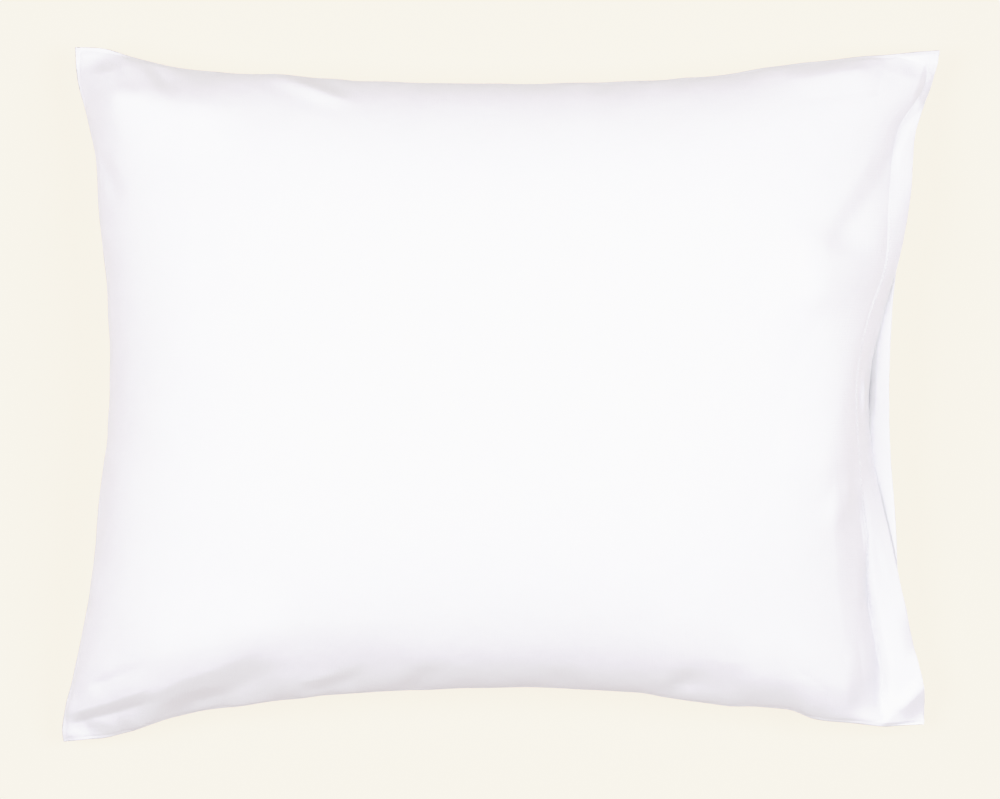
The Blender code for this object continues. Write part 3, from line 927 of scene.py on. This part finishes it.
class Nodes:
    """Adds nodes to a material's tree, each with its values and links."""

    def __init__(self, name):
        self.material = bpy.data.materials.new(name)
        self.material.use_nodes = True
        self.tree = self.material.node_tree
        self.shader = self.tree.nodes["Principled BSDF"]

    def feed(self, node, inputs):
        """Sets a node's inputs to values, or links them to other nodes' outputs."""
        for key, value in inputs.items():
            if isinstance(value, bpy.types.NodeSocket):
                self.tree.links.new(value, node.inputs[key])
            else:
                node.inputs[key].default_value = value

    def add(self, kind, inputs, **settings):
        node = self.tree.nodes.new(kind)
        for key, value in settings.items():
            setattr(node, key, value)
        self.feed(node, inputs)
        return node

    def math(self, operation, a, b):
        return self.add("ShaderNodeMath", {0: a, 1: b}, operation=operation).outputs[0]

    def stretched_noise(self, place, scale, detail, stretch):
        """Noise whose spots are drawn out along one direction."""
        at = self.add("ShaderNodeMapping", {"Vector": place, "Scale": stretch}).outputs[0]
        inputs = {"Vector": at, "Scale": scale, "Detail": detail, "Roughness": 0.55}
        return self.add("ShaderNodeTexNoise", inputs).outputs["Fac"]

    def threads(self, place, direction):
        """Parallel threads, each a little uneven."""
        inputs = {"Vector": place, "Scale": THREADS, "Distortion": 0.6, "Detail Scale": 40.0}
        return self.add("ShaderNodeTexWave", inputs, bands_direction=direction).outputs["Fac"]

    def bump(self, height, strength, distance, normal=None):
        inputs = {"Height": height, "Strength": strength, "Distance": distance}
        if normal is not None:
            inputs["Normal"] = normal
        return self.add("ShaderNodeBump", inputs).outputs[0]

    def ramp(self, value, *stops):
        """Colours from a value, through (position, colour) stops."""
        ramp = self.add("ShaderNodeValToRGB", {"Fac": value})
        for element, (position, colour) in zip(ramp.color_ramp.elements, stops):
            element.position, element.color = position, colour
        return ramp.outputs["Color"]


def cotton(span):
    """Plain-woven cotton. Its places are metres over the flat cloth, from the case's own layout."""
    nodes = Nodes("white_cotton")
    layout = nodes.add("ShaderNodeUVMap", {}, uv_map="OFBake").outputs["UV"]
    place = nodes.add("ShaderNodeMapping", {"Vector": layout, "Scale": (span, span, span)}).outputs[0]

    weave = nodes.math("MULTIPLY", nodes.threads(place, "X"), nodes.threads(place, "Y"))
    slubs = nodes.math(
        "ADD",
        nodes.stretched_noise(place, SLUBS, 1.0, (1.0, 0.06, 1.0)),
        nodes.stretched_noise(place, SLUBS, 1.0, (0.06, 1.0, 1.0)),
    )
    crumple = nodes.stretched_noise(place, CRUMPLE, 3.0, (1.0, 0.8, 1.0))

    normal = nodes.bump(weave, 0.6, WEAVE_DEPTH)
    normal = nodes.bump(slubs, 0.5, SLUB_DEPTH, normal)
    rough = {"Value": slubs, "From Min": 0.6, "From Max": 1.4, "To Min": 0.82, "To Max": 0.94}
    finish = {
        # the cloth's tone varies, and it is laid darker where the crumple bump is low, as painted shade in
        # its hollows
        "Base Color": nodes.ramp(crumple, (0.3, PAINTED_HOLLOW_SHADE), (0.7, COTTON_WHITE)),
        "Normal": nodes.bump(crumple, 0.5, CRUMPLE_DEPTH, normal),
        "Roughness": nodes.add("ShaderNodeMapRange", rough).outputs[0],
        "Sheen Weight": 0.15,
        "Sheen Roughness": 0.5,
        "Specular IOR Level": 0.3,
    }
    nodes.feed(nodes.shader, finish)
    return nodes.material


def thread():
    """White sewing thread, a little brighter than the cloth, with its twist."""
    nodes = Nodes("white_thread")
    place = nodes.add("ShaderNodeTexCoord", {}).outputs["Object"]
    spots = nodes.stretched_noise(place, TWIST, 1.0, (1.0, 1.0, 1.0))
    finish = {
        # the thread is darker where its twist bump is low: painted shade in the hollows
        "Base Color": nodes.ramp(spots, (0.0, PAINTED_HOLLOW_SHADE), (1.0, THREAD_WHITE)),
        "Normal": nodes.bump(spots, 0.4, TWIST_DEPTH),
        "Roughness": 0.7,
        "Sheen Weight": 0.3,
    }
    nodes.feed(nodes.shader, finish)
    return nodes.material


case.data.materials.append(cotton(layout_span))
stitches.data.materials.append(thread())

# -------- the stage

CASE_MIDDLE = Vector((0, 0, 0.06))
CAMERA_PLACE = (-0.0002, -0.0030, 3.4)
VIEW_WIDTH = 0.69  # how much the picture takes in, at the seams' height
SEAM_HEIGHT = 0.045
SENSOR_WIDTH = 36
PAPER = (0.080, 0.077, 0.070, 1)
FLOOR_GLOW = (0.945, 0.880, 0.785, 1)
WORLD_COLOUR = (1.0, 0.85, 1.10, 1)
WORLD_STRENGTH = 0.34
SOFTBOX_COLOUR = (1.0, 1.045, 1.035)
SOFTBOX_POWER = 46.8
SOFTBOX_SIZE = 1.2
SOFTBOXES = {"left_softbox": (-1.4, 0.14, 2.4), "right_softbox": (1.4, 0.14, 2.4)}
# Each pair is a brightness in the scene, and as shown.
TONE = [
    (0.15, 0.16), (0.30, 0.32), (0.50, 0.52), (0.73, 0.723), (0.85, 0.807), (0.95, 0.888), (1.02, 0.922),
    (1.08, 0.940), (1.14, 0.954), (1.19, 0.963), (1.30, 0.970), (1.40, 0.975), (2.0, 0.985),
]
TONE_REACH = 2.0


def add_floor():
    """Pale paper that glows a little, as on a light table, so the case throws hardly any shadow on it."""
    bpy.ops.mesh.primitive_plane_add(size=12)
    floor = bpy.context.object
    floor.name = "floor"
    nodes = Nodes("cream_paper")
    nodes.feed(nodes.shader, {"Base Color": PAPER, "Roughness": 1, "Specular IOR Level": 0})
    nodes.feed(nodes.shader, {"Emission Color": FLOOR_GLOW, "Emission Strength": 1})
    floor.data.materials.append(nodes.material)


def add_softbox(name, place):
    light = bpy.data.lights.new(name, "AREA")
    light.shape = "SQUARE"
    light.size = SOFTBOX_SIZE
    light.energy = SOFTBOX_POWER
    light.color = SOFTBOX_COLOUR
    lamp = add_object(name, light)
    lamp.location = place
    lamp.rotation_euler = (CASE_MIDDLE - Vector(place)).to_track_quat("-Z", "Y").to_euler()


def add_world():
    world = bpy.data.worlds.new("studio")
    world.use_nodes = True
    background = world.node_tree.nodes["Background"]
    background.inputs["Color"].default_value = WORLD_COLOUR
    background.inputs["Strength"].default_value = WORLD_STRENGTH
    bpy.context.scene.world = world


def add_camera():
    """Straight above the case, with a long lens."""
    camera = bpy.data.cameras.new("camera")
    camera.sensor_width = SENSOR_WIDTH
    camera.lens = SENSOR_WIDTH * (CAMERA_PLACE[2] - SEAM_HEIGHT) / VIEW_WIDTH
    eye = add_object("camera", camera)
    eye.location = CAMERA_PLACE
    bpy.context.scene.camera = eye


def set_tone():
    """A high-key tone: true up to a light grey, then a soft shoulder that keeps white cloth unclipped."""
    view = bpy.context.scene.view_settings
    view.view_transform = "Standard"
    view.use_curve_mapping = True
    view.curve_mapping.white_level = (TONE_REACH,) * 3
    curve = view.curve_mapping.curves[3]
    curve.points[1].location = (1.0, TONE[-1][1])
    for scene_value, shown_value in TONE[:-1]:
        curve.points.new(scene_value / TONE_REACH, shown_value)
    view.curve_mapping.update()


add_floor()
add_world()
for name, place in SOFTBOXES.items():
    add_softbox(name, place)
add_camera()
set_tone()
